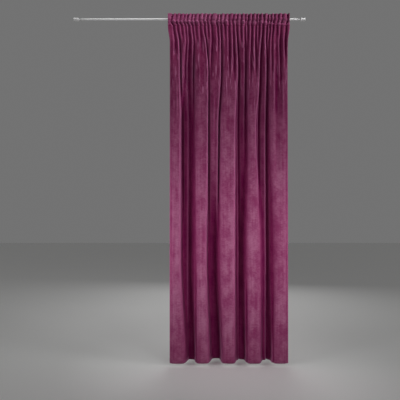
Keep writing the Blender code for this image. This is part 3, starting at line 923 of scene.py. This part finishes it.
def velvet():
    """Deep pile, its tone cloudy at random, with faint ripples across the cloth and a fine pile in
    its bumps. Painted shade darkens the pile between the folds, just below the rod and near the
    hem; painted highlights lighten short streaks in the gathers, the crests, the puffs and the
    side edges."""
    made, tree, shader = new_material("plum_velvet", {
        "Roughness": 0.6, "Specular IOR Level": 0.08, "Specular Tint": (1.0, 0.30, 0.65, 1.0),
        "Sheen Weight": 0.3, "Sheen Roughness": 0.35, "Sheen Tint": (1.0, 0.46, 0.80, 1.0),
    })
    place = own_place(tree)
    ripples = stretched_noise(tree, place, RIPPLES)
    nap = weighed(tree, (
        (stretched_noise(tree, place, CLOUDS), CLOUDS_SHARE), (ripples, RIPPLES_SHARE),
        (stretched_noise(tree, place, STREAKS), STREAKS_SHARE),
    ))
    open_pile, painted_shade, height_shade = (
        two_tones(tree, nap, tones, NAP_DARK_AT, NAP_LIGHT_AT)
        for tones in (OPEN_PILE_TONES, PAINTED_SHADE_TONES, HEIGHT_SHADE_TONES)
    )
    axes = tree.nodes.new("ShaderNodeSeparateXYZ")
    feed(tree, axes, {"Vector": place})
    height = axes.outputs["Z"]
    # Painted shade just below the rod and near the hem.
    tone = mixed(tree, by_height(tree, height, SHADE_BY_HEIGHT), open_pile, height_shade)
    # Painted highlight on short streaks in the gathers.
    streak_mask = tree.nodes.new("ShaderNodeMapRange")
    feed(tree, streak_mask, {
        "Value": stretched_noise(tree, place, STREAK_HIGHLIGHT_NOISE), "From Min": STREAK_HIGHLIGHT_FROM,
        "From Max": STREAK_HIGHLIGHT_FULL, "To Max": STREAK_HIGHLIGHT_MOST,
    })
    in_gathers = by_height(tree, height, STREAK_HIGHLIGHTS_BY_HEIGHT)
    streak_highlight = calculated(tree, "MULTIPLY", streak_mask.outputs["Result"], in_gathers)
    tone = mixed(tree, streak_highlight, tone, STREAK_HIGHLIGHT_TONE)
    # Painted shade where the pile lies far back and behind the cloth beside it.
    depth = tree.nodes.new("ShaderNodeMapRange")
    depth.interpolation_type = "SMOOTHSTEP"
    feed(tree, depth, {
        "Value": axes.outputs["Y"], "From Min": PILE_FRONT, "From Max": PILE_BACK,
    })
    deep = calculated(tree, "MAXIMUM", depth.outputs["Result"], attribute(tree, "painted_shade"))
    tone = mixed(tree, deep, tone, painted_shade)
    # Painted highlight on crests, puffs and side edges.
    painted_highlight = calculated(tree, "MULTIPLY", attribute(tree, "painted_highlight"), PAINTED_HIGHLIGHT_MOST)
    tone = mixed(tree, painted_highlight, tone, PAINTED_HIGHLIGHT_TONE)
    crushed = bumped(tree, ripples, CRUSHED)
    pile = stretched_noise(tree, place, PILE)
    normal = bumped(tree, pile, PILE_RELIEF, {"Normal": crushed})
    feed(tree, shader, {"Base Color": tone, "Normal": normal})
    return made


def bands(tree, place, direction, scale):
    made = tree.nodes.new("ShaderNodeTexWave")
    made.bands_direction = direction
    feed(tree, made, {"Scale": scale, "Vector": place})
    return made.outputs["Fac"]


def woven(name, inputs, clouds, tones, threads_scale, relief):
    """A dull cloudy cloth of fine crossed threads: one set runs down it and one across it."""
    made, tree, shader = new_material(name, inputs)
    place = own_place(tree)
    tone = two_tones(tree, stretched_noise(tree, place, clouds), tones)
    scale = threads_scale / (2.0 * math.pi)
    sets = (bands(tree, place, direction, scale) for direction in ("X", "Z"))
    normal = bumped(tree, calculated(tree, "MULTIPLY", *sets), relief)
    feed(tree, shader, {"Base Color": tone, "Normal": normal})
    return made


def spun_thread(name, tones):
    """Thread: fine slanting twists of two close tones."""
    made, tree, shader = new_material(name, {"Roughness": 0.7})
    twist = bands(tree, own_place(tree), "DIAGONAL", THREAD_TWIST)
    feed(tree, shader, {"Base Color": two_tones(tree, twist, tones)})
    return made


def satin_metal(name, tone):
    """Brushed metal with a dull lacquer: a fine grain along the rod in tone and roughness."""
    made, tree, shader = new_material(name, {"Metallic": METAL_SHINE})
    grain = stretched_noise(tree, own_place(tree), GRAIN)
    tones = Tones(*([tone * share for share in shares] for shares in METAL_TONES))
    rough = tree.nodes.new("ShaderNodeMapRange")
    feed(tree, rough, {"Value": grain, "To Min": METAL_SMOOTHEST, "To Max": METAL_ROUGHEST})
    feed(tree, shader, {
        "Base Color": two_tones(tree, grain, tones), "Roughness": rough.outputs["Result"],
    })
    return made


def plain_floor():
    return new_material("pale_floor", {"Base Color": FLOOR_TONE, "Roughness": 0.8})[0]


# ---- the stage ----
CAMERA_X = 0.0818
CAMERA_Z = -1.405
CAMERA_AWAY = 3.20
CAMERA_LENS = 37.0
FLOOR_GAP = 0.018
FLOOR_HALF, FLOOR_CELLS = 9.0, 8
WORLD_TONE = (0.17, 0.17, 0.17, 1.0)

# Soft oblong lights: where each stands, what it faces, its two sides, power and spread.
MIDDLE = (PANEL_CENTRE, 0.0, -1.7)
Light = namedtuple("Light", "name place aim size_x size_y power spread")
LIGHTS = (
    Light("right_front", (1.5, -1.9, -1.72), MIDDLE, 0.9, 0.9, 4.0, 70.0),
    Light("right_edge", (2.5, -0.6, -1.72), MIDDLE, 0.9, 0.9, 4.0, 70.0),
    Light("right_high", (2.1, -1.0, -0.6), (PANEL_CENTRE, 0.0, -0.4), 0.9, 0.9, 0.7, 70.0),
    Light("left_side", (-1.5, -1.0, -1.72), MIDDLE, 0.9, 0.9, 3.8, 70.0),
    Light("left_edge", (-1.5, -0.12, -1.62), (-0.15, 0.0, -1.62), 0.5, 1.2, 2.0, 90.0),
    Light("low_front", (0.3, -3.0, -2.0), (PANEL_CENTRE, 0.0, -1.95), 3.0, 0.7, 12.5, 180.0),
    Light("top_right", (1.40, -0.50, 0.60), (0.50, 0.0, -0.02), 0.4, 0.4, 1.8, 70.0),
    Light("top_left", (0.50, -0.42, 0.65), (-0.10, 0.0, 0.0), 0.4, 0.4, 0.85, 80.0),
    Light("left_rod", (-0.52, -0.60, 0.80), (-0.50, 0.0, 0.0), 1.0, 0.1, 1.1, 60.0),
    Light("behind", (0.6, 2.8, -0.7), (PANEL_CENTRE, 0.0, -1.2), 2.4, 1.8, 20.0, 180.0),
)


def area_light(wanted):
    light = bpy.data.lights.new(wanted.name, "AREA")
    light.shape = "RECTANGLE"
    light.size = wanted.size_x
    light.size_y = wanted.size_y
    light.energy = wanted.power
    light.spread = math.radians(wanted.spread)
    thing = bpy.data.objects.new(wanted.name, light)
    thing.location = wanted.place
    facing = Vector(wanted.aim) - Vector(wanted.place)
    thing.rotation_euler = facing.to_track_quat("-Z", "Y").to_euler()
    thing.visible_camera = False
    bpy.context.collection.objects.link(thing)


def stage():
    bm = bmesh.new()
    bmesh.ops.create_grid(bm, x_segments=FLOOR_CELLS, y_segments=FLOOR_CELLS, size=FLOOR_HALF)
    mesh = bpy.data.meshes.new("floor")
    bm.to_mesh(mesh)
    bm.free()
    floor = bpy.data.objects.new("floor", mesh)
    floor.location = (0.0, 0.0, HEM - FLOOR_GAP)
    floor.data.materials.append(plain_floor())
    bpy.context.collection.objects.link(floor)
    world = bpy.data.worlds.new("studio")
    world.use_nodes = True
    feed(world.node_tree, world.node_tree.nodes["Background"],
         {"Color": WORLD_TONE, "Strength": 1.0})
    bpy.context.scene.world = world
    for light in LIGHTS:
        area_light(light)
    camera = bpy.data.cameras.new("camera")
    camera.lens = CAMERA_LENS
    view = bpy.data.objects.new("camera", camera)
    view.location = (CAMERA_X, -CAMERA_AWAY, CAMERA_Z)
    view.rotation_euler = (math.radians(90.0), 0.0, 0.0)
    bpy.context.collection.objects.link(view)
    bpy.context.scene.camera = view
    bpy.context.scene.view_settings.view_transform = "Standard"


def main():
    panel, marks = panel_sheet()
    tape = tape_sheet()
    # The velvet's reverse is plain and dull, and a little paler than its pile.
    reverse = woven("velvet_back", {"Roughness": 0.9, "Specular IOR Level": 0.2},
                    BACK_CLOUDS, BACK_WEAVE, BACK_THREADS, BACK_RELIEF)
    panel_cloth(panel, marks, velvet(), reverse)
    tape_cloth(tape, woven("woven_tape", {"Roughness": 0.85},
                           TAPE_WEAR, TAPE_WEAVE, TAPE_THREADS, TAPE_RELIEF))
    plum_thread = spun_thread("plum_thread", PLUM_THREAD)
    pale_thread = spun_thread("pale_thread", PALE_THREAD)
    sewing(panel, tape, plum_thread, pale_thread)
    rod(satin_metal("pole_metal", POLE_TONE), satin_metal("finial_metal", END_TONE))
    stage()


main()
